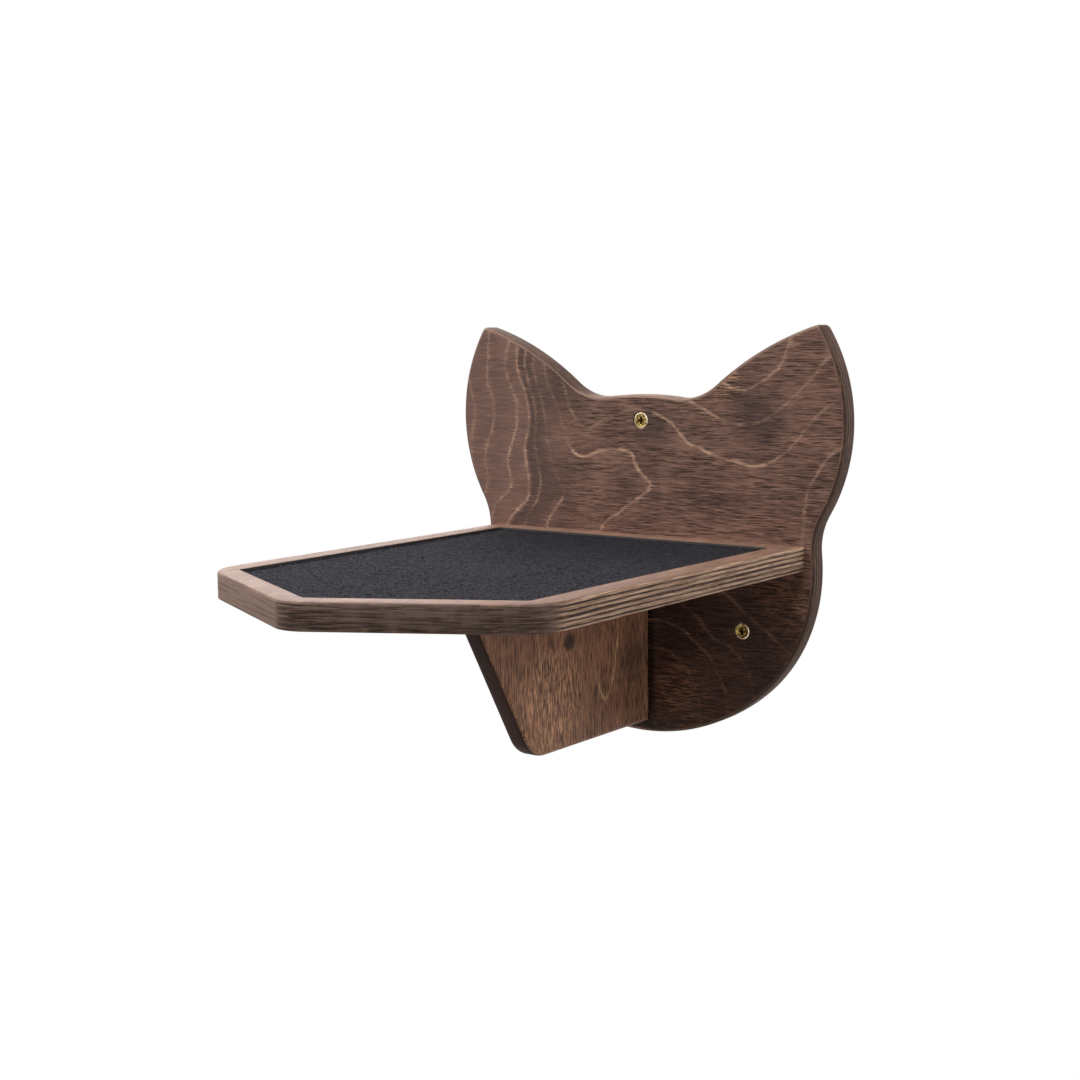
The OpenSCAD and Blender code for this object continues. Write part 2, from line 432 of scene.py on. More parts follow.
# The colour sockets of a mix node
MIX_SHARE, MIX_A, MIX_B, MIX_RESULT = 0, 6, 7, 2


class Finish(Nodes):
    """The nodes of a piece's material, which know the place on the piece."""

    def __init__(self, name):
        self.material = bpy.data.materials.new(name)
        super().__init__(self.material)
        self.coords = self.add("TexCoord").outputs
        self.own = self.coords["Object"]

    def axis(self, name, of="Object"):
        """One axis of the place on the piece, in metres, or of its normal."""
        return self.add("SeparateXYZ", {"Vector": self.coords[of]}).outputs[name]

    def slope(self, axis, low, high, to_low, to_high):
        """A ramp along one axis of the piece, between two places in millimetres."""
        return self.ramp(self.axis(axis), low * MM, high * MM, to_low, to_high)

    def attribute(self, name):
        return self.add("Attribute", attribute_name=name).outputs["Fac"]

    def mapped(self, vector=None, scale=(1, 1, 1), turn=(0, 0, 0), shift=(0, 0, 0)):
        radians = [math.radians(a) for a in turn]
        inputs = {"Vector": vector or self.own, "Scale": scale, "Rotation": radians, "Location": shift}
        return self.add("Mapping", inputs).outputs["Vector"]

    def noise(self, vector, size, detail=2, rough=0.5, distortion=0):
        """Noise whose spots are about size millimetres across."""
        inputs = {"Vector": vector, "Scale": 1 / (size * MM), "Detail": detail}
        inputs.update({"Roughness": rough, "Distortion": distortion})
        return self.add("TexNoise", inputs).outputs["Fac"]

    def about_zero(self, noise):
        return self.math("SUBTRACT", noise, 0.5)

    def times(self, a, b, plus=None):
        """a times b, with a third value added if there is one."""
        if plus is None:
            return self.math("MULTIPLY", a, b)
        return self.math("MULTIPLY_ADD", a, b, plus)

    def blend(self, share, a, b):
        made = self.add("Mix", {MIX_SHARE: share, MIX_A: a, MIX_B: b}, data_type="RGBA")
        return made.outputs[MIX_RESULT]

    def near(self, point, inner, outer, waver, keep):
        """1 within inner millimetres of a point, 0 beyond outer, give or take waver, on the axes in keep."""
        flat = self.mapped(scale=keep)
        spot = [p * k * MM for p, k in zip(point, keep)]
        away = self.add("VectorMath", {0: flat, 1: spot}, operation="DISTANCE").outputs["Value"]
        away = self.times(self.about_zero(self.noise(flat, 2.5, 3, 0.6)), waver * MM, away)
        return self.ramp(away, inner * MM, outer * MM, 1.0, 0.0)

    def bump(self, height, depth, strength):
        inputs = {"Height": height, "Distance": depth * MM, "Strength": strength}
        return self.add("Bump", inputs).outputs["Normal"]

    def skin(self, body, rough, normal, mirror=0.5, **others):
        inputs = {"Base Color": body, "Roughness": rough, "Normal": normal, "Specular IOR Level": mirror}
        inputs.update({k.replace("_", " "): v for k, v in others.items()})
        shader = self.add("BsdfPrincipled", inputs)
        self.add("OutputMaterial", {"Surface": shader.outputs[0]})
        return self.material


def veneer(
    name, fibre_turn, tones, growth, dash=1.0, line=1.0, length=24, pore=0.45, figure=None, gloss=SATIN,
):
    """Stained birch veneer. Its fibres run along the first axis once turned, and growth gives year lines."""
    wood = Finish(name)
    turned = wood.mapped(turn=fibre_turn)

    def grain(along, size, detail, rough, distortion=0, shift=(0, 0, 0)):
        """Noise that is drawn out along the fibres."""
        stretched = wood.mapped(turned, scale=(along, 1, 1), shift=shift)
        return wood.noise(stretched, size, detail, rough, distortion)

    stain = grain(0.6, 26, 4, 0.62)
    tint = grain(0.5, 16, 3, 0.6, shift=(0.31, 0.17, 0.23))
    rows = grain(1 / length, 0.44, 2, 0.6, 0.1)
    fibres = grain(1 / length, 0.5, 2, 0.6, 0.1, shift=(0.05, 0.02, 0.08))
    pores = grain(1 / length, pore, 2, 0.55, 0.1, shift=(0.21, 0.15, 0.09))
    bands = grain(1 / 26, 2.4, 3, 0.6, shift=(0.4, 0.3, 0.6))
    specks = grain(2 / length, 0.6, 2, 0.6, shift=(0.11, 0.07, 0.13))
    from_line, shown, late = growth(wood, turned, rows)
    broken = wood.ramp(specks, 0.36, 0.56, 0.45, 1.0)
    year_line = wood.times(wood.ramp(from_line, 0.05, 1.4, 1.0, 0.0), shown)
    year_line = wood.times(year_line, broken)
    beside = wood.times(wood.ramp(from_line, 0.5, 6.0, 1.0, 0.0), shown)
    body = wood.blend(wood.ramp(stain, 0.36, 0.62), tones["dark"], tones["mid"])
    body = wood.blend(wood.ramp(tint, 0.46, 0.66, 0.0, 0.5), body, tones["grey"])
    body = wood.blend(wood.times(late, 0.5 * line), body, tones["grey"])
    body = wood.blend(wood.ramp(bands, 0.46, 0.66, 0.0, 0.4), body, tones["light"])
    body = wood.blend(wood.ramp(fibres, 0.48, 0.66, 0.0, 0.75 * dash), body, tones["light"])
    dashes = wood.times(wood.ramp(pores, 0.48, 0.6), dash)
    dashes = wood.times(dashes, wood.ramp(tint, 0.34, 0.56, 0.65, 0.9))
    if figure:
        body, dashes = figure(wood, body, dashes, specks)
    body = wood.blend(dashes, body, tones["dash"])
    glints = wood.times(wood.ramp(specks, 0.52, 0.68), wood.times(beside, 0.7, 0.15))
    body = wood.blend(glints, body, tones["glint"])
    body = wood.blend(wood.times(year_line, 0.95 * line), body, tones["line"])
    height = wood.times(dashes, -1.0, wood.times(fibres, 0.6))
    mirror, low_rough, high_rough = gloss
    rough = wood.ramp(rows, 0.35, 0.65, low_rough, high_rough)
    normal = wood.bump(height, 0.1, 0.5)
    return wood.skin(body, rough, normal, mirror)


def from_years(wood, year, steep, shown):
    """How far the nearest year line is, how clearly it shows, and how dark the wood past it is."""
    from_line = wood.math("DIVIDE", wood.math("PINGPONG", year, 0.5), steep)
    late = wood.times(wood.ramp(wood.math("FRACT", year), 0.0, 0.5, 1.0, 0.0), shown)
    return from_line, shown, late


def drawn_years(wood, turned, rows):
    """The year lines that draw_years lays on a piece."""
    # Each row of fibres lies a little out of step with the next
    step = wood.times(wood.about_zero(rows), 6.0)
    year = wood.times(step, wood.attribute("year_lean"), wood.attribute("year"))
    patchy = wood.ramp(wood.noise(turned, 9, 2, 0.6), 0.4, 0.6, 0.35, 1.0)
    shown = wood.times(wood.attribute("year_show"), patchy)
    return from_years(wood, year, wood.attribute("year_steep"), shown)


def wild_years(wood, turned, rows):
    """Year lines that are left to chance."""
    flow = wood.mapped(turned, scale=(0.4, 1, 1), shift=(1.3, 0.4, 2.2))
    year = wood.times(wood.noise(flow, 70, 1.5, 0.45, 0.4), 11.0)
    year = wood.times(wood.about_zero(rows), 0.35, year)
    shown = wood.ramp(wood.noise(turned, 14, 2, 0.6), 0.38, 0.62, 0.2, 0.9)
    return from_years(wood, year, 0.07, shown)


def ply_edge(name, across, face, span, plies, fibres, tones, mirror, dull):
    """The sawn edge of plywood: each ply is light where it is cut along its fibres and dark across them.

    The board runs from the face over the span, and fibres names those of its face plies and of the others."""
    wood = Finish(name)
    step = span / plies
    facing_right = wood.axis("X", "Normal")
    squeeze = [1 / 36] * 3
    squeeze["XYZ".index(across)] = 1
    streaks = wood.noise(wood.mapped(scale=squeeze), 0.55, 4, 0.65)
    runs = wood.noise(wood.mapped(scale=squeeze, shift=(0.03, 0.09, 0.05)), 1.3, 3, 0.6)
    wander = wood.noise(wood.own, 30, 2)
    depth = wood.times(wood.axis(across), 1 / (step * MM), -face / step)
    depth = wood.times(wood.about_zero(wander), 0.5, depth)
    # Every second ply is thinner, apart from the middle one
    twos = wood.math("MODULO", wood.math("ADD", depth, 1.5), 2.0)
    off = wood.math("ABSOLUTE", wood.math("SUBTRACT", twos, 1.0))
    core = wood.ramp(wood.math("ABSOLUTE", wood.math("SUBTRACT", depth, plies / 2)), 0.7, 1.0, 0.2, 0.0)
    width = wood.math("ADD", wood.times(runs, 0.8, -0.06), core)
    other = wood.ramp(wood.math("SUBTRACT", off, width), -0.1, 0.1, 1.0, 0.0)
    along_faces, along_others = (wood.math("ABSOLUTE", wood.axis(a, "Normal")) for a in fibres)
    swing = wood.math("SUBTRACT", along_others, along_faces)
    cut_across = wood.times(other, swing, along_faces)
    ragged = wood.times(wood.about_zero(streaks), 0.7, cut_across)
    along = wood.blend(wood.ramp(streaks, 0.36, 0.64), tones["along"], tones["along_light"])
    blotch = wood.noise(wood.own, 13, 3, 0.6)
    end = wood.blend(wood.ramp(streaks, 0.38, 0.62), tones["across"], tones["across_light"])
    end = wood.blend(wood.ramp(blotch, 0.42, 0.68, 0.0, 0.6), end, tones["across_light"])
    # Painted light: cut ends that face left are painted lighter, as if lit from that side
    end = wood.blend(wood.ramp(facing_right, -0.5, 0.3, 0.8, 0.0), end, tones["across_light"])
    end = wood.blend(wood.times(wood.ramp(runs, 0.46, 0.62), 0.35), end, tones["glue"])
    end = wood.blend(wood.ramp(cut_across, 0.9, 1.0, 0.0, 0.6), end, tones["glue"])
    # The cross plies stay dull even where they are cut along their fibres
    smooth_cut = wood.times(wood.ramp(ragged, 0.1, 0.4, 1.0, 0.0), wood.ramp(other, 0.0, 1.0, 1.0, dull))
    body = wood.blend(smooth_cut, end, along)
    glue = wood.ramp(wood.math("PINGPONG", depth, 0.5), 0.02, 0.1, 0.25, 0.0)
    body = wood.blend(glue, body, tones["glue"])
    chips = wood.noise(wood.mapped(scale=[1 if s == 1 else 0.12 for s in squeeze]), 0.9, 2, 0.6)
    chips = wood.times(wood.ramp(chips, 0.62, 0.7, 0.0, 0.8), wood.ramp(facing_right, -0.5, 0.2, 0.2, 1.0))
    body = wood.blend(chips, body, tones["fleck"])
    normal = wood.bump(wood.times(glue, -0.8, streaks), 0.12, 0.6)
    rough = wood.ramp(streaks, 0.3, 0.7, 0.5, 0.7)
    return wood.skin(body, rough, normal, mirror)


def stained_and_shaded_end(name):
    """The routed walls of the recess, which drank the most stain, painted darker still as shade inside the
    recess.
    """
    wood = Finish(name)
    streaks = wood.noise(wood.mapped(scale=(1 / 12, 1 / 12, 1)), 0.5, 3, 0.6)
    # Dark stained end grain, darkened further as painted shade
    body = wood.blend(wood.ramp(streaks, 0.4, 0.66), colour(14, 10, 8), colour(36, 26, 22))
    return wood.skin(body, 0.7, wood.bump(streaks, 0.1, 0.5))


def needle_felt(name):
    """Charcoal carpet: pale tips of tufts over hollows painted dark as shade, with loose fibres."""
    felt = Finish(name)
    tuft = felt.noise(felt.own, 2.6, 3, 0.7, 0.5)
    fuzz = felt.noise(felt.own, 1.15, 2, 0.6, 1.0)
    tread = felt.noise(felt.own, 45, 3, 0.6)
    # Painted shade: dark low in the pile, pale on the tips
    pile_shade = felt.slope("Z", CARPET_TOP - 1.2, CARPET_TOP - 0.2, 0.0, 1.0)
    body = felt.blend(pile_shade, colour(9, 8, 11), colour(42, 40, 47))
    body = felt.blend(felt.ramp(tuft, 0.46, 0.58, 0.0, 0.9), body, colour(13, 12, 16))
    body = felt.blend(felt.ramp(fuzz, 0.52, 0.68, 0.0, 0.75), body, colour(78, 75, 86))
    body = felt.blend(felt.ramp(tread, 0.45, 0.75, 0.0, 0.25), body, colour(52, 51, 57))
    # Painted shade: darker towards the plate, which shades the back of the carpet
    body = felt.blend(felt.slope("Y", -200, -30, 0.0, 0.4), body, colour(11, 10, 14))
    normal = felt.bump(felt.times(fuzz, 0.6, tuft), 0.6, 0.8)
    return felt.skin(body, 0.95, normal, mirror=0.06, Sheen_Weight=0.05, Sheen_Roughness=0.5)


def yellow_zinc(name, hollow, rubbed):
    """Yellow passivated zinc, olive in the hollows and paler where it is rubbed."""
    zinc = Finish(name)
    cloud = zinc.noise(zinc.own, 1.4, 3, 0.65)
    grain = zinc.noise(zinc.own, 0.3, 2, 0.5)
    body = zinc.blend(zinc.ramp(cloud, 0.38, 0.62), hollow, rubbed)
    body = zinc.blend(zinc.ramp(grain, 0.55, 0.8, 0.0, 0.5), body, hollow)
    rough = zinc.ramp(grain, 0.3, 0.7, 0.2, 0.36)
    return zinc.skin(body, rough, zinc.bump(grain, 0.03, 0.5), Metallic=1.0)


def hook_tape(name):
    """Black fastening tape: rows of hooks on a woven ground."""
    tape = Finish(name)
    rows = tape.add("TexVoronoi", {"Vector": tape.own, "Scale": 1 / (0.7 * MM), "Randomness": 0.35})
    tops = tape.ramp(rows.outputs["Distance"], 0.1, 0.55, 1.0, 0.0)
    body = tape.blend(tops, colour(16, 16, 18), colour(52, 52, 56))
    return tape.skin(body, 0.7, tape.bump(tops, 0.3, 0.9), mirror=0.3)


def tone_set(**seen):
    return {name: colour(*levels) for name, levels in seen.items()}


PLATE_TONES = tone_set(
    dark=(98, 72, 63), mid=(140, 106, 92), grey=(84, 67, 62), light=(172, 132, 114),
    dash=(48, 33, 28), glint=(184, 142, 120), line=(222, 178, 150),
)
BRACKET_TONES = tone_set(
    dark=(112, 74, 56), mid=(164, 114, 88), grey=(92, 63, 50), light=(212, 156, 120),
    dash=(34, 20, 14), glint=(244, 188, 138), line=(240, 194, 150),
)
BORDER_TONES = tone_set(
    dark=(116, 87, 73), mid=(138, 105, 88), grey=(110, 85, 73), light=(156, 121, 102),
    dash=(84, 61, 50), glint=(168, 133, 111), line=(172, 138, 116),
)
SHELF_EDGE_TONES = tone_set(
    along=(150, 116, 95), along_light=(238, 200, 170), across=(70, 52, 44),
    across_light=(156, 130, 117), glue=(26, 19, 16), fleck=(168, 131, 104),
)
PLATE_EDGE_TONES = tone_set(
    along=(136, 109, 95), along_light=(176, 145, 128), across=(70, 52, 44),
    across_light=(112, 87, 75), glue=(38, 28, 24), fleck=(150, 116, 92),
)
BRACKET_EDGE_TONES = tone_set(
    along=(72, 49, 41), along_light=(94, 66, 55), across=(56, 38, 32),
    across_light=(80, 56, 47), glue=(32, 22, 19), fleck=(106, 76, 60),
)

# The colour of the painted shadow on the plate under the shelf and beside the bracket
PAINTED_SHADOW = colour(22, 14, 11)
CALM_VENEER = colour(117, 93, 85)
SMOKY_VENEER = colour(76, 60, 56)
PALE_CURL = colour(230, 170, 132)
BRACKET_CURL = colour(255, 194, 150)

# Between which points across the plate's left ear turns calm
CALM_EDGE = (-85, -35)
# The middles of the plate's greyer smudges and paler curls, and how far they reach
SMUDGES = [((-57, 0, 101), 34), ((8, 0, 78), 18), ((80, 0, 84), 26)]
CURLS = [((28, 0, -82), 32), ((98, 0, -20), 28), ((58, 0, 104), 14)]

# The turns that bring the fibres to the first axis
ALONG_X = (0, 0, 0)
ALONG_Y = (0, 0, 90)
ALONG_Z = (0, 90, 0)


def plate_figure(wood, body, dashes, specks):
    """The left ear is calmer than the rest. There are greyer smudges, pale curls and painted shadow under the
    shelf.
    """
    front = (1, 0, 1)
    dashes = wood.times(dashes, wood.slope("X", *CALM_EDGE, 0.2, 1.0))
    body = wood.blend(wood.slope("X", *CALM_EDGE, 0.5, 0.0), body, CALM_VENEER)
    # Smoky wood past the fourth year line
    year = wood.attribute("year")
    past_fourth = wood.times(wood.ramp(year, 4.0, 4.35), wood.ramp(year, 5.0, 7.0, 1.0, 0.0))
    smoke = wood.times(past_fourth, wood.slope("X", -55, -40, 0.7, 0.0))
    body = wood.blend(smoke, body, SMOKY_VENEER)
    for spot, size in SMUDGES:
        smudge = wood.near(spot, 5, size, 12, keep=front)
        body = wood.blend(wood.times(smudge, 0.7), body, SMOKY_VENEER)
    # Painted shade: the plate is darker below the shelf
    body = wood.blend(wood.slope("Z", -20, 0, 0.2, 0.0), body, PAINTED_SHADOW)
    for spot, size in CURLS:
        curls = wood.near(spot, 4, size, 12, keep=front)
        curls = wood.times(curls, wood.ramp(specks, 0.46, 0.64, 0.0, 0.9))
        body = wood.blend(curls, body, PALE_CURL)
    # Painted shadow below the shelf, and a painted shadow line along the joint with the bracket
    shadow_below_shelf = wood.times(wood.near((30, 0, -34), 4, 42, 20, keep=front), 0.55)
    body = wood.blend(shadow_below_shelf, body, PAINTED_SHADOW)
    beside = wood.ramp(wood.math("ABSOLUTE", wood.axis("X")), 7 * MM, 12 * MM, 0.85, 0.0)
    joint_shadow = wood.times(beside, wood.slope("Z", SHELF_BOTTOM, SHELF_BOTTOM + 4, 1.0, 0.0))
    return wood.blend(joint_shadow, body, PAINTED_SHADOW), dashes


def bracket_figure(wood, body, dashes, specks):
    """A dark knot with a dark trail under it, paler curly wood lower down in front, and painted shade near
    the plate and under the shelf.
    """
    sides = (0, 1, 1)
    curl = wood.near((0, -112, -74), 14, 44, 16, keep=sides)
    body = wood.blend(wood.times(curl, wood.ramp(specks, 0.48, 0.6)), body, BRACKET_CURL)
    # Painted shade on the side near the plate, which shades it
    plate_shade_spot = wood.near((0, -30, -58), 4, 20, 14, keep=sides)
    body = wood.blend(wood.times(plate_shade_spot, 0.7), body, BRACKET_TONES["grey"])
    knot = wood.near((0, -95, -40), 2.5, 7.5, 6, keep=sides)
    trail = wood.near((0, -95 * 4, -53), 3, 13, 6, keep=(0, 4, 1))
    dark = wood.times(wood.math("MAXIMUM", knot, wood.times(trail, 0.6)), 0.95)
    # Painted shadow of the shelf along the bracket's top
    shelf_shadow = wood.slope("Z", -50, -12, 0.0, 0.5)
    body = wood.blend(shelf_shadow, body, BRACKET_TONES["dark"])
    return wood.blend(dark, body, BRACKET_TONES["dash"]), dashes


def border_figure(wood, body, dashes, specks):
    """Painted shade at the back, darker in the corner where the plate shades the top."""
    # Painted shade, darker towards the plate
    corner = wood.slope("Y", -36, -14, 0.0, 0.15)
    return wood.blend(corner, body, BORDER_TONES["dash"]), dashes


plate_front = veneer("plate_front_veneer", ALONG_X, PLATE_TONES, drawn_years, figure=plate_figure)
plate_back = veneer("plate_back_veneer", ALONG_X, PLATE_TONES, wild_years, dash=0.9, line=0.8)
bracket_face = veneer(
    "bracket_veneer", ALONG_Z, BRACKET_TONES, drawn_years,
    line=0.95, length=20, pore=0.56, figure=bracket_figure, gloss=OILED,
)
border_face = veneer(
    "shelf_top_veneer", ALONG_Y, BORDER_TONES, wild_years,
    dash=0.4, line=0.4, length=22, pore=0.5, figure=border_figure, gloss=SANDED,
)
under_face = veneer("shelf_under_veneer", ALONG_Y, PLATE_TONES, wild_years, dash=0.9, line=0.8)
shelf_edge = ply_edge(
    "shelf_plies", "Z", SHELF_TOP - PLY_DROP, -SHELF_T, SHELF_PLIES, "YX", SHELF_EDGE_TONES,
    mirror=0.07, dull=0.08,
)
plate_edge = ply_edge(
    "plate_plies", "Y", -PLATE_T, PLATE_T, PLATE_PLIES, "XZ", PLATE_EDGE_TONES,
    mirror=0.1, dull=0.4,
)
bracket_edge = ply_edge(
    "bracket_plies", "X", BRACKET_T / 2, -BRACKET_T, BRACKET_PLIES, "ZY", BRACKET_EDGE_TONES,
    mirror=0.12, dull=0.6,
)
recess_wall = stained_and_shaded_end("recess_wall_stain_and_shade")
carpet_felt = needle_felt("charcoal_needle_felt")
screw_zinc = yellow_zinc("yellow_zinc_plating", colour(80, 62, 26), colour(190, 166, 104))
# The rim's paler zinc: partly rubbed wear, partly a painted highlight
rim_zinc_and_highlight = yellow_zinc("rubbed_zinc_rim_and_highlight", colour(168, 150, 108), colour(246, 236, 210))
fastening_tape = hook_tape("hook_and_loop_tape")


# Year lines

# Year lines drawn on the plate's front: level, how clearly it shows, and its course in millimetres
# across and up. A level with a fraction lies between two lines.
PLATE_YEARS = [
    (1, 0.35, [(-129, 100), (-126, 87), (-125, 83), (-127, 73), (-129, 61), (-125, 40)]),
    (2, 0.4, [(-114, 129), (-115, 112), (-115, 99), (-112, 95)]),
    (2, 0.4, [(-110, 83), (-113, 69), (-116, 62), (-118, 49)]),
    (2, 0.3, [(-117, 34)]),
    (3, 0.5, [(-97, 128), (-100, 119), (-99, 104), (-95, 96), (-92, 88), (-92, 81)]),
    (3, 0.85, [(-94, 69), (-98, 59), (-100, 52), (-98, 45), (-97, 37), (-102, 31)]),
    (3, 0.6, [(-110, 24)]),
    (4, 0.6, [(-91, 122), (-92, 114), (-89, 104), (-85, 95), (-83, 87), (-82, 79)]),
    (4, 0.85, [(-84, 69), (-86, 57), (-84, 47), (-83, 36), (-84, 29), (-92, 22)]),
    (4, 0.7, [(-99, 15)]),
    (5, 0.3, [(-81, 96), (-78, 82), (-79, 67), (-76, 51), (-74, 39), (-76, 33), (-82, 23), (-86, 15)]),
    (6, 0.2, [(-79, 112), (-75, 97), (-72, 87), (-70, 75), (-67, 61), (-65, 50), (-59, 40), (-55, 35)]),
    (6, 0.7, [(-60, 28), (-66, 20), (-70, 13)]),
    (7, 0.25, [(-62, 90), (-58, 81), (-55, 71), (-52, 63)]),
    (7, 1.0, [(-49, 60), (-44, 57), (-37, 58), (-30, 61), (-20, 62), (-12, 62)]),
    (7, 1.0, [(-6, 61), (-5, 56), (-2, 51), (3, 46), (7, 43), (8, 41)]),
    (7, 0.75, [(5, 38), (0, 35), (-6, 31), (-12, 27), (-17, 23), (-22, 21), (-27, 16), (-30, 13)]),
    (6.6, 0.3, [(-30, 50), (-20, 45), (-10, 42), (-25, 35), (-35, 28)]),
    (7.5, 0.3, [(-25, 70), (0, 72), (12, 58), (18, 42), (10, 30), (-5, 20), (30, 45), (45, 35), (70, 30)]),
    (7.5, 0.3, [(90, 30), (60, 15)]),
    (8, 0.4, [(-52, 87), (-47, 80), (-42, 75), (-36, 75), (-27, 80)]),
    (8, 0.25, [(-17, 83), (-8, 86), (4, 86)]),
    (8, 0.8, [(12, 84), (20, 80), (25, 76)]),
    (8, 1.0, [(29, 71), (34, 67), (41, 65), (48, 62), (55, 60), (65, 58), (74, 56)]),
    (8, 0.7, [(84, 57), (92, 61)]),
    (8, 0.4, [(100, 67), (109, 77), (117, 86), (128, 94)]),
    (9, 0.9, [(36, 91), (45, 87), (55, 82)]),
    (9, 0.4, [(63, 80), (70, 79), (80, 81), (92, 88), (100, 94)]),
    (9, 0.6, [(110, 103), (122, 116)]),
    (10, 0.8, [(57, 103), (65, 99), (72, 99)]),
    (10, 0.6, [(80, 103), (87, 107), (94, 114), (99, 126)]),
    (7, 0.5, [(130, 67), (123, 62), (117, 53), (112, 45), (110, 37)]),
    (7, 0.5, [(109, 29), (108, 19), (107, 11), (101, -2)]),
    (7, 0.6, [(99, -8), (101, -16), (105, -23), (111, -29)]),
    (7.4, 0.3, [(85, -10), (92, -25), (70, 0), (50, -5)]),
    (7, 0.7, [(59, -19), (69, -27), (77, -33), (85, -38), (93, -44), (101, -51)]),
    (6, 0.4, [(50, -46), (61, -50), (67, -55), (72, -60), (75, -68), (77, -75)]),
    (5, 0.6, [(30, -43), (47, -56), (54, -68), (59, -78), (60, -88)]),
    (4, 0.4, [(15, -56), (23, -59), (31, -65), (36, -72), (39, -79)]),
]
# Year lines of the bracket's sides, in millimetres forwards and up
BRACKET_YEARS = [
    (1, 0.8, [(-67, -67), (-64, -74), (-59, -80), (-55, -75)]),
    (1, 1.0, [(-51, -65), (-49, -55), (-46, -41), (-46, -30), (-46, -8)]),
    (1, 0.1, [(-70, -48), (-72, -30), (-75, -10)]),
    (1.5, 0.2, [(-58, -60), (-57, -40), (-60, -15)]),
    (0.5, 0.2, [(-30, -50), (-40, -88), (-62, -92), (-78, -78), (-84, -50), (-88, -20), (-100, -70)]),
    (1, 0.35, [(-123, -38), (-122, -49), (-120, -59), (-121, -70), (-115, -88)]),
    (1.5, 0.2, [(-142, -45), (-130, -90), (-150, -15)]),
]


def draw_years(piece, years, read, fibre):
    """Lays the drawn year lines on the piece as levels of one smooth hill.

    With them go how steep the hill is, how it leans along the fibres and how clearly each line shows."""
    points = np.array([p for _, _, line in years for p in line], float)
    levels = np.array([level for level, _, line in years for _ in line], float)
    clear = np.array([show for _, show, line in years for _ in line], float)

    def bend(a, b):
        gap = np.linalg.norm(a[:, None] - b[None], axis=2) + 1e-9
        return gap * gap * np.log(gap)

    n = len(points)
    plane = np.c_[np.ones(n), points]
    table = np.zeros((n + 3, n + 3))
    table[:n, :n] = bend(points, points) + YEAR_SLACK * np.eye(n)
    table[:n, n:] = plane
    table[n:, :n] = plane.T
    weights = np.linalg.solve(table, np.r_[levels, np.zeros(3)])

    def hill(where):
        return bend(where, points) @ weights[:n] + np.c_[np.ones(len(where)), where] @ weights[n:]

    where = np.array([read(v.co / MM) for v in piece.data.vertices])
    slope_u = hill(where + (0.5, 0)) - hill(where - (0.5, 0))
    slope_v = hill(where + (0, 0.5)) - hill(where - (0, 0.5))
    steep = np.maximum(np.hypot(slope_u, slope_v), 0.02)
    lean = (slope_u, slope_v)[fibre]
    near = 1 / (np.linalg.norm(where[:, None] - points[None], axis=2) + YEAR_BLUR) ** 4
    show = near @ clear / near.sum(axis=1)
    laid = {"year": hill(where), "year_steep": steep, "year_lean": lean, "year_show": show}
    for name, values in laid.items():
        made = piece.data.attributes.new(name, "FLOAT", "POINT")
        made.data.foreach_set("value", values.astype(np.float32))


# The back plate

def head_seat(at, shank, head, t):
    """A cutter for a countersunk hole with an eased rim through a board, from the face at the given place."""
    hole, seat = shank / 2 + HOLE_ROOM, head / 2 + SEAT_ROOM
    rim = HEAD_SINK + RIM_T
    wide, end = seat + HOLE_EASE, t + 1
    profile = [(wide, -1), (wide, 0), (seat, HOLE_EASE), (seat, rim), (hole, rim + seat - hole)]
    cutter = lathe((0, -1), profile + [(hole, end), (0, end)])
    cutter.matrix_world = at
    return settle(cutter)


def aim(at, direction):
    """The place of something drawn along +Z that starts at a point, in millimetres, in the direction."""
    turn = Vector(direction).to_track_quat("Z", "X").to_matrix().to_4x4()
    return Matrix.Translation(Vector(at) * MM) @ turn


INTO_WALL, OUT_OF_WALL, DOWN = (0, 1, 0), (0, -1, 0), (0, 0, -1)
WALL_SCREWS = {
    name: (RING_R * math.cos(math.radians(a)), RING_R * math.sin(math.radians(a)))
    for name, a in (("wall_screw_top", 90), ("wall_screw_left", 210), ("wall_screw_right", 330))
}
PLATE_SCREWS = {f"shelf_screw_{i + 1}": (x, SHELF_SCREW_Z) for i, x in enumerate(SHELF_SCREW_X)}
PLATE_SCREWS.update({f"bracket_screw_{n}": (0, z) for n, z in zip(("upper", "lower"), BRACKET_SCREW_Z)})


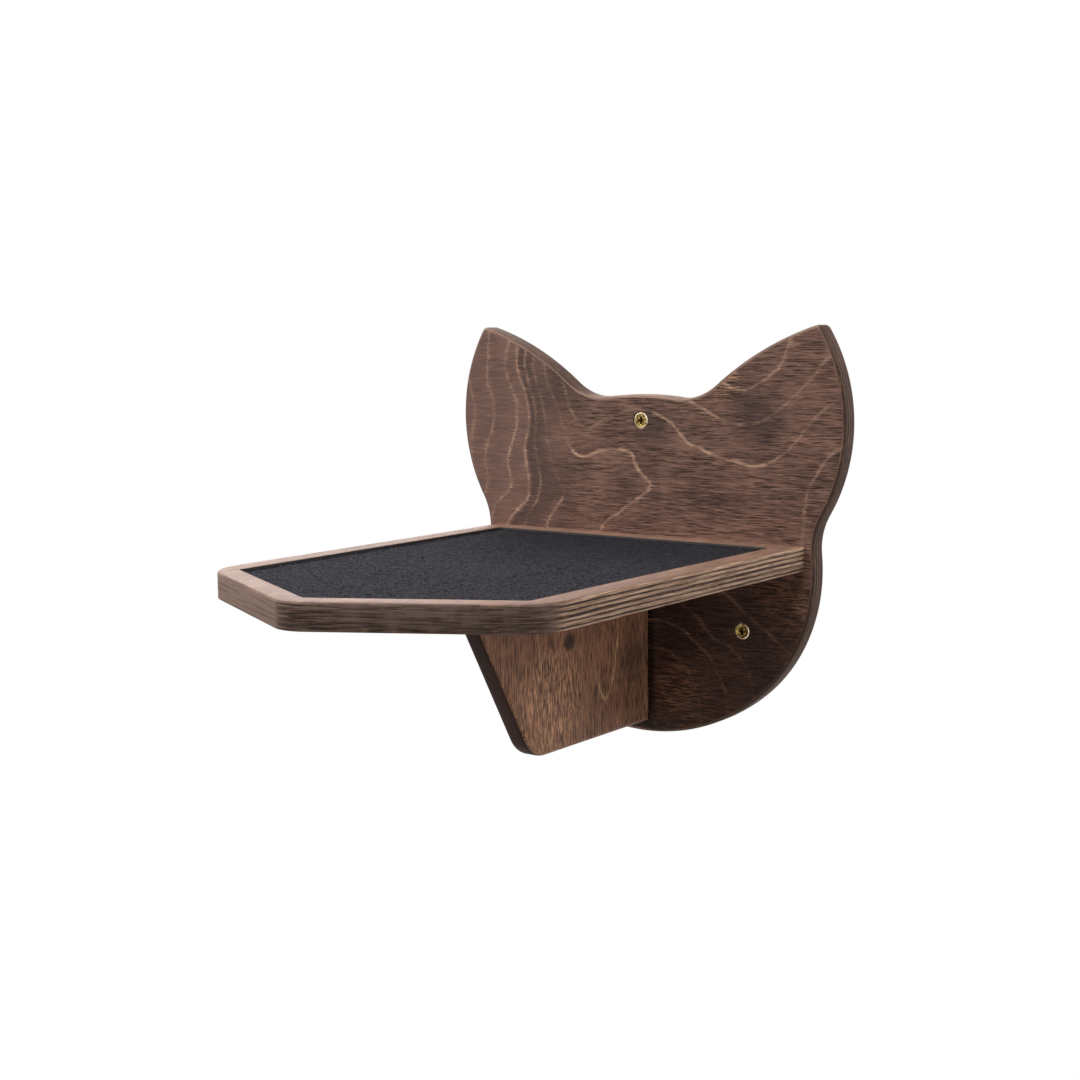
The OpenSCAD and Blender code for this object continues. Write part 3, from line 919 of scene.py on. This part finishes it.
def make_back_plate():
    cheek = (CHEEK_W / 2 - CHEEK_R, SHELF_TOP - CHEEK_DROP)
    chin_z = SHELF_TOP - CHIN_DROP
    rise = cheek[1] - chin_z
    chin_r = (cheek[0] ** 2 + rise**2 - CHEEK_R**2) / (2 * (rise - CHEEK_R))
    chin = (0, chin_z + chin_r)
    ear = (EAR_W / 2 - EAR_R, SHELF_TOP + EAR_RISE)
    neck = meet(cheek, CHEEK_R + NECK_R, ear, EAR_R + NECK_R)
    notch = (NOTCH_GAP / 2, SHELF_TOP + NOTCH_RISE + NOTCH_R)
    dome_z = SHELF_TOP + NOTCH_RISE + DOME_RISE
    over = notch[1] - dome_z
    dome_r = (notch[0] ** 2 + over**2 - NOTCH_R**2) / (2 * (NOTCH_R - over))
    dome = (0, dome_z - dome_r)
    tip_z = SHELF_TOP + TIP_RISE
    tip_x = ear[0] + math.sqrt(EAR_R**2 - (tip_z - ear[1]) ** 2)
    inner = meet(notch, NOTCH_R + INNER_R, (tip_x, tip_z), INNER_R)
    tip = meet(inner, INNER_R - TIP_R, ear, EAR_R - TIP_R)
    # Each arc's centre, and where it ends as seen from there
    bends = [
        (chin, heading(chin, cheek)),
        (cheek, heading(cheek, neck)),
        (neck, heading(neck, ear)),
        (ear, heading(ear, tip)),
        (tip, heading(inner, tip)),
        (inner, heading(inner, notch)),
        (notch, heading(notch, dome)),
        (dome, 90),
    ]
    pen = Pen("front", -PLATE_T, (0, chin_z))
    for centre, end in bends:
        pen.arc(centre, turn_between(heading(centre, pen.at), end))
    plate = pen.piece
    apply_modifier(plate, "MIRROR", use_clip=True, merge_threshold=MIRROR_GAP)
    edit(plate)
    select_all()
    bpy.ops.mesh.edge_face_add()
    thicken((0, PLATE_T, 0))
    ease_edges(plate, lambda e: len({round(v.co.y, 5) for v in e.verts}) == 1, PLATE_EASE, 4)
    slice_grid(plate, PLATE_GRID, YEAR_GRID)
    seats = []
    for x, z in WALL_SCREWS.values():
        seats.append(head_seat(aim((x, -PLATE_T, z), INTO_WALL), WALL_SCREW_D, WALL_HEAD_D, PLATE_T))
    for x, z in PLATE_SCREWS.values():
        seats.append(head_seat(aim((x, 0, z), OUT_OF_WALL), WOOD_SCREW_D, WOOD_HEAD_D, PLATE_T))
    carve(plate, join(seats))
    draw_years(plate, PLATE_YEARS, lambda p: (p.x, p.z), 0)

    def choose(at, normal):
        if normal.y < -0.999 and at.y < -PLATE_T + TOUCH:
            return 0
        if normal.y > 0.999 and at.y > -TOUCH:
            return 1
        return 2

    return dress(plate, [plate_front, plate_back, plate_edge], choose)


# The shelf board

def home_plate(side, back, front):
    """The corners of the pointed shelf, drawn in by a border at its sides, back and front edges."""
    x = SHELF_W / 2 - side
    y_tip = TIP_Y + front * math.hypot(1, POINT_SLOPE)
    y_shoulder = y_tip + x * POINT_SLOPE
    y_back = -PLATE_T - back
    return [(-x, y_back), (-x, y_shoulder), (0, y_tip), (x, y_shoulder), (x, y_back)]


RECESS_CUT = home_plate(SIDE_BORDER, BACK_BORDER, FRONT_BORDER)
CARPET_CUT = home_plate(SIDE_BORDER + CARPET_GAP, BACK_BORDER + CARPET_GAP, FRONT_BORDER + CARPET_GAP)


def level(edge, z):
    return all(abs(v.co.z - z * MM) < SAME_POINT for v in edge.verts)


def make_shelf_board():
    radii = [0, SHOULDER_R, POINT_R, SHOULDER_R, 0]
    board = draw_rounded("plan", SHELF_BOTTOM, home_plate(0, 0, 0), radii)
    thicken((0, 0, SHELF_T))
    back = (-PLATE_T - TOUCH) * MM

    def free_rim(z):
        return lambda edge: level(edge, z) and not all(v.co.y > back for v in edge.verts)

    ease_edges(board, free_rim(SHELF_TOP), SHELF_EASE, 5)
    ease_edges(board, free_rim(SHELF_BOTTOM), UNDER_EASE, 3)
    recess = draw_rounded("plan", FLOOR_Z, RECESS_CUT, [RECESS_R] * 5)
    thicken((0, 0, SHELF_TOP - FLOOR_Z + 1))
    floor_t = FLOOR_Z - SHELF_BOTTOM
    seats = [head_seat(aim((0, y, FLOOR_Z), DOWN), WOOD_SCREW_D, WOOD_HEAD_D, floor_t) for y in DECK_SCREW_Y]
    carve(board, recess)
    carve(board, join(seats))
    wide, back_y = RECESS_CUT[4]
    tip_y = RECESS_CUT[2][1]

    def recess_rim(edge):
        spots = [v.co / MM for v in edge.verts]
        inner = all(abs(p.x) < wide + RIM_SLACK and p.y < back_y + RIM_SLACK for p in spots)
        return level(edge, SHELF_TOP) and inner and len(edge.link_faces) == 2 and edge.calc_face_angle() > 1

    ease_edges(board, recess_rim, RECESS_EASE, 2)

    def choose(at, normal):
        if normal.z > 0.8 and at.z > FLOOR_Z - TOUCH:
            return 0
        if normal.z < -0.6 and at.z < SHELF_BOTTOM + UNDER_EASE:
            return 1
        x = abs(at.x)
        past_front = at.y - (tip_y + x * POINT_SLOPE)
        inner = x < wide + WALL_SLACK and at.y < back_y + WALL_SLACK and past_front > -WALL_SLACK
        return 3 if inner else 2

    return dress(board, [border_face, under_face, shelf_edge, recess_wall], choose)


# The bracket

def make_bracket():
    back, bottom = -PLATE_T, SHELF_BOTTOM - BRACKET_H
    corners = [
        (back, SHELF_BOTTOM),
        (back - BRACKET_TOP_L, SHELF_BOTTOM),
        (back - BRACKET_BOTTOM_L, bottom),
        (back, bottom),
    ]
    bracket = draw_rounded("side", -BRACKET_T / 2, corners, [0, 0, BRACKET_R, 0])
    thicken((BRACKET_T, 0, 0))

    def free_edge(edge):
        a, b = (v.co / MM for v in edge.verts)
        on_shelf = min(a.z, b.z) > SHELF_BOTTOM - TOUCH
        return abs(a.x - b.x) < TOUCH and not on_shelf

    ease_edges(bracket, free_edge, BRACKET_EASE, 5)
    slice_grid(bracket, BRACKET_GRID, YEAR_GRID)
    leave_edit()
    draw_years(bracket, BRACKET_YEARS, lambda p: (p.y, p.z), 1)
    return dress(bracket, [bracket_face, bracket_edge], lambda at, normal: 0 if abs(normal.x) > 0.5 else 1)


# The carpet and its fastening pads

def make_carpet():
    carpet = draw_rounded("plan", CARPET_Z, CARPET_CUT, [RECESS_R] * 5)
    thicken((0, 0, CARPET_T))
    ease_edges(carpet, lambda e: level(e, CARPET_TOP), CARPET_EASE)
    # Only the flat top is cut into tufts
    pick(carpet, "faces", lambda f: f.normal.z > 0.99 and f.calc_center_median().z > (CARPET_TOP - 0.1) * MM)
    bpy.ops.mesh.hide(unselected=True)
    (left, _), _, (_, tip), _, (right, back) = CARPET_CUT
    slice_grid(carpet, {"x": (left, right), "y": (tip, back)}, 2 * TUFT)
    select_all()
    bpy.ops.mesh.subdivide(number_cuts=1)
    select_all()
    bpy.ops.object.vertex_group_add()
    bpy.ops.object.vertex_group_assign()
    bpy.ops.mesh.reveal()
    leave_edit()
    tufts = bpy.data.textures.new("carpet_tufts", "CLOUDS")
    tufts.noise_scale = TUFT * MM
    tufts.noise_depth = 1
    apply_modifier(
        carpet, "DISPLACE", texture=tufts, strength=PILE * MM, mid_level=0.82, direction="Z",
        vertex_group=carpet.vertex_groups[0].name,
    )
    return dress(carpet, [carpet_felt], crease=60)


def make_pad(box):
    low, high = box[0] / MM, box[1] / MM
    corners = [(low.x, low.y), (high.x, low.y), (high.x, high.y), (low.x, high.y)]
    pad = draw_rounded("plan", low.z, corners, [PAD_R] * 4)
    thicken((0, 0, high.z - low.z))
    ease_edges(pad, lambda e: level(e, low.z) or level(e, high.z), PAD_EASE, 2)
    return dress(pad, [fastening_tape])


# The screws

def wedge(turn, size, taper):
    """A cutter across the head of a screw, narrower at its far end, turned about the screw."""
    leave_edit()
    bpy.ops.mesh.primitive_cube_add(size=1)
    made = bpy.context.object
    bpy.ops.transform.resize(value=Vector(size) * MM)
    settle(made)
    edit(made)
    pick(made, "faces", lambda f: f.normal.z > 0.9)
    bpy.ops.transform.resize(value=(*taper, 1))
    leave_edit()
    made.rotation_euler.z = math.radians(turn)
    return settle(made)


# The cuts of a cross recess: their turns, their size as shares of the head, and how far they narrow
CROSS_CUTS = [
    ((0, 90), (0.72, 0.19, 0.7), (0.35, 0.7)),
    ((45, 135), (0.76, 0.07, 0.08), (1, 1)),
    ((45,), (0.32, 0.32, 0.5), (0.5, 0.5)),
]


def make_screw(d, head, length, board_t):
    """A countersunk screw along +Z from the origin, with a cross recess, a plain neck and a rolled thread."""
    core, neck = 0.32 * d, 0.38 * d
    cone_end = RIM_T + head / 2 - neck
    thread = board_t - HEAD_SINK
    thread_end = length - SCREW_POINT_L
    profile = [
        (0.6 * head / 2, HEAD_DISH),
        (head / 2 - 0.75, 0),
        (head / 2 - 0.4, 0),
        (head / 2 - 0.15, 0.15),
        (head / 2, 0.35),
        (head / 2, RIM_T),
        (neck, cone_end),
        (neck, thread - d / 4),
        (core, thread),
        (core, thread_end),
        (0, length),
    ]
    body = lathe((0, HEAD_DISH), profile)
    for turns, shares, taper in CROSS_CUTS:
        for turn in turns:
            carve(body, wedge(turn, [share * head for share in shares], taper))
    pitch, root = 0.6 * d, 0.98 * core
    turns = math.floor((thread_end - thread) / pitch)
    pen = Pen("side", 0, (root, thread))
    for r, share in ((d / 2, 0.3), (d / 2, 0.38), (root, 0.68), (root, 0)):
        pen.line((r, thread + share * pitch))
    thread_ridge = pen.piece
    weld(thread_ridge)
    apply_modifier(
        thread_ridge, "SCREW", axis="Z", screw_offset=pitch * MM, iterations=turns,
        steps=THREAD_STEPS, render_steps=THREAD_STEPS,
    )
    edit(thread_ridge)
    select_all()
    bpy.ops.mesh.fill_holes(sides=4)
    weld(thread_ridge)
    screw = join([body, thread_ridge])

    # The rim takes the paler zinc, partly rubbed wear and partly a painted highlight
    def choose(at, normal):
        return 1 if at.z < RIM_T and math.hypot(at.x, at.y) > head / 2 - RUBBED_AND_HIGHLIT_RIM else 0

    return dress(screw, [screw_zinc, rim_zinc_and_highlight], choose)


def make_screws():
    made = {}
    wall = make_screw(WALL_SCREW_D, WALL_HEAD_D, WALL_SCREW_L, PLATE_T)
    for name, (x, z) in WALL_SCREWS.items():
        made[name] = copy_to(wall, aim((x, HEAD_SINK - PLATE_T, z), INTO_WALL))
    plate = make_screw(WOOD_SCREW_D, WOOD_HEAD_D, PLATE_SCREW_L, PLATE_T)
    for name, (x, z) in PLATE_SCREWS.items():
        made[name] = copy_to(plate, aim((x, -HEAD_SINK, z), OUT_OF_WALL))
    deck = make_screw(WOOD_SCREW_D, WOOD_HEAD_D, DECK_SCREW_L, FLOOR_Z - SHELF_BOTTOM)
    for name, y in zip(("deck_screw_back", "deck_screw_front"), DECK_SCREW_Y):
        made[name] = copy_to(deck, aim((0, y, FLOOR_Z - HEAD_SINK), DOWN))
    for pattern in (wall, plate, deck):
        bpy.data.objects.remove(pattern)
    return made


# Putting it together

def fit(piece, name, body, slot, *nodes):
    leave_edit()
    piece.name = name
    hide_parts(*nodes)
    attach(piece, body)


fit(make_back_plate(), "cat_head_plate", "shelf", "plate_wood", "back_plate")
fit(make_shelf_board(), "pointed_shelf", "shelf", "shelf_wood", "shelf_board")
fit(make_bracket(), "under_bracket", "shelf", "bracket_wood", "support_bracket")
carpet = make_carpet()
fit(carpet, "carpet_inlay", "carpet", "carpet", "carpet_mat")
for node, screw in make_screws().items():
    fit(screw, f"zinc_{node}", "shelf", "zinc_screw", node)
for i in range(1, 5):
    for kind, body, under in (("hook", "shelf", "pointed_shelf"), ("loop", "carpet", f"hook_tape_{i}")):
        pad = make_pad(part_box(f"{kind}_pad_{i}"))
        fit(pad, f"{kind}_tape_{i}", body, "hook_and_loop", f"{kind}_pad_{i}")


# Floor, light and camera

scene = bpy.context.scene
FLOOR_DROP = 2.2
FLOOR_R = 30
WHITE = (1, 1, 1, 1)
PALE_GREY = (0.86, 0.86, 0.86, 1)
# How far out the floor starts to run to white, and is white
FADE_FROM, FADE_TO = 0.8, 1.8


def make_floor():
    """A pale floor that keeps the soft shadow near the object and runs out to white."""
    leave_edit()
    bpy.ops.mesh.primitive_circle_add(
        vertices=96, radius=FLOOR_R, fill_type="NGON", location=(0, -0.2, -FLOOR_DROP),
    )
    floor = bpy.context.object
    floor.name = "pale_floor"
    paint = Finish("pale_floor_paint")
    far = paint.add("VectorMath", {0: paint.own}, operation="LENGTH").outputs["Value"]
    share = paint.times(paint.ramp(far, FADE_FROM, FADE_TO, 0.5), paint.seen())
    matt = paint.add("BsdfDiffuse", {"Color": PALE_GREY})
    paint.mix(share, matt, paint.add("Emission"), "OutputMaterial")
    floor.data.materials.append(paint.material)


def make_world(strength):
    """Weak light from all round, behind which the eye sees white."""
    world = bpy.data.worlds.new("studio")
    scene.world = world
    nodes = Nodes(world)
    room = nodes.add("Background", {"Color": WHITE, "Strength": strength})
    white = nodes.add("Background", {"Color": WHITE, "Strength": 1})
    nodes.mix(nodes.seen(), room, white, "OutputWorld")


def make_lamp(name, at, target, size, watts):
    lamp = bpy.data.lights.new(name, "AREA")
    lamp.shape = "SQUARE"
    lamp.size = size
    lamp.energy = watts
    hung = bpy.data.objects.new(name, lamp)
    scene.collection.objects.link(hung)
    hung.visible_camera = False
    hung.location = at
    hung.rotation_euler = (Vector(target) - Vector(at)).to_track_quat("-Z", "Y").to_euler()


# The photograph's standpoint, in millimetres and degrees, and its field of view
EYE = Vector((571.87, -882.89, 138.56))
YAW, PITCH, ROLL = 36.608, 7.088, 0.589
LENS, SENSOR = 58.49, 36


def make_camera():
    pitched = Matrix.Rotation(math.radians(90 - PITCH), 4, "X")
    turn = Matrix.Rotation(math.radians(YAW), 4, "Z") @ pitched @ Matrix.Rotation(math.radians(-ROLL), 4, "Z")
    camera = bpy.data.cameras.new("photo_camera")
    camera.lens = LENS
    camera.sensor_width = SENSOR
    stand = bpy.data.objects.new("photo_camera", camera)
    scene.collection.objects.link(stand)
    stand.matrix_world = Matrix.Translation(EYE * MM) @ turn
    scene.camera = stand


make_floor()
make_world(strength=0.02)
# Each lamp's place, what it faces, its size in metres and its watts
make_lamp("key_softbox", (-1.3, -1.35, 1.0), (0, -0.1, 0.03), 1.2, 25.5)
make_lamp("right_softbox", (1.7, -0.12, -0.1), (0, -0.1, -0.02), 0.6, 5.2)
make_lamp("back_right_softbox", (1.2, 0.9, 0.45), (0, -0.1, 0), 1.2, 6.5)
make_lamp("back_left_softbox", (-1.4, 1.0, 0.9), (0, -0.15, 0), 1.2, 20)
make_lamp("top_softbox", (0.1, -0.5, 1.5), (0, -0.15, 0), 1.0, 20)
make_camera()
scene.view_settings.view_transform = "Standard"
